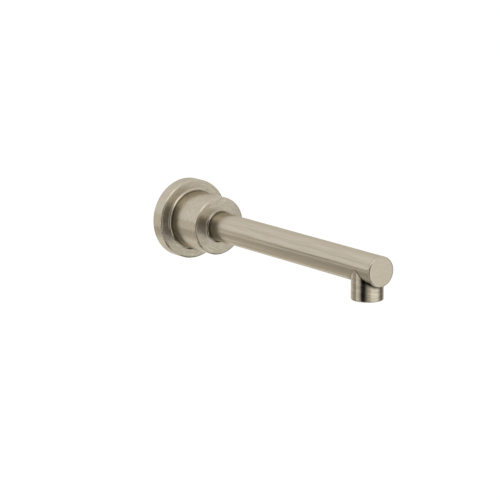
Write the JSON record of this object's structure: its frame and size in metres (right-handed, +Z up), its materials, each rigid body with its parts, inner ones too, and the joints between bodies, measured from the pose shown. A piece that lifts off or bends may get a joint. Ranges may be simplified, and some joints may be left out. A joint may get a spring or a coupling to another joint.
{
  "type": "wall mounted bath spout",
  "caption": "Straight round bath spout for a wall: sliding flange, hub, long tube, short outlet pointing down with an unscrewable aerator, and a slip-on wall adapter.",
  "frame": {"origin": "on the spout's axis, in the plane of the finished wall that the flange's back rests on", "axes": "the spout reaches out along -Y, +Y goes into the wall, +Z is up and the outlet points down"},
  "size_m": [0.069, 0.2675, 0.069],
  "materials": {
    "nickel_flange": "brushed nickel plate, turned face",
    "nickel_hub": "brushed nickel plate, turned face",
    "nickel_tube": "brushed nickel plate, brushed round",
    "nickel_cap": "brushed nickel plate, flat",
    "nickel_outlet": "brushed nickel plate, brushed round",
    "bare_brass": "turned",
    "screw_steel": "plain",
    "seal_rubber": "moulded",
    "foam": "closed-cell foam",
    "grey_plastic": "moulded",
    "white_plastic": "moulded"
  },
  "bodies": {
    "adapter": {"wall_adapter": "bare_brass", "adapter_oring": "seal_rubber"},
    "spout": {"inlet_socket": "bare_brass", "tube_ferrule": "bare_brass", "lock_nut": "bare_brass", "hub_shell": "nickel_hub", "spout_tube": "nickel_tube", "end_cap": "nickel_cap", "outlet_stub": "nickel_outlet"},
    "escutcheon": {"escutcheon_plate": "nickel_flange", "escutcheon_oring": "seal_rubber", "wall_gasket": "foam"},
    "pad": {"screw_pad": "bare_brass"},
    "screw": {"set_screw": "screw_steel"},
    "washer": {"aerator_washer": "seal_rubber"},
    "aerator": {"aerator_housing": "grey_plastic", "filter_dome": "white_plastic", "flow_disc": "white_plastic", "straightener_grid": "white_plastic", "honeycomb_grille": "white_plastic"}
  },
  "joints": [
    {"name": "spout_turn", "type": "hinge", "parent": "adapter", "child": "spout", "pos_m": [0, 0, 0], "axis": [0, -1, 0], "continuous": true},
    {"name": "escutcheon_slide", "type": "slide", "parent": "spout", "child": "escutcheon", "axis": [0, -1, 0], "range_m": [0, 0.035]},
    {"name": "set_screw_travel", "type": "slide", "parent": "spout", "child": "pad", "axis": [0, 0, -1], "range_m": [0, 0.0018]},
    {"name": "set_screw_turn", "type": "hinge", "parent": "pad", "child": "screw", "pos_m": [0, -0.01855, 0], "axis": [0, 0, -1], "range_deg": [0, 648]},
    {"name": "aerator_travel", "type": "slide", "parent": "spout", "child": "washer", "axis": [0, 0, -1], "range_m": [0, 0.004]},
    {"name": "aerator_turn", "type": "hinge", "parent": "washer", "child": "aerator", "pos_m": [0, -0.25, 0], "axis": [0, 0, -1], "range_deg": [0, 1440]}
  ],
  "couplings": [
    {"joint": "set_screw_turn", "follows": "set_screw_travel", "rad_per_m": 6283.2},
    {"joint": "aerator_turn", "follows": "aerator_travel", "rad_per_m": 6283.2}
  ]
}
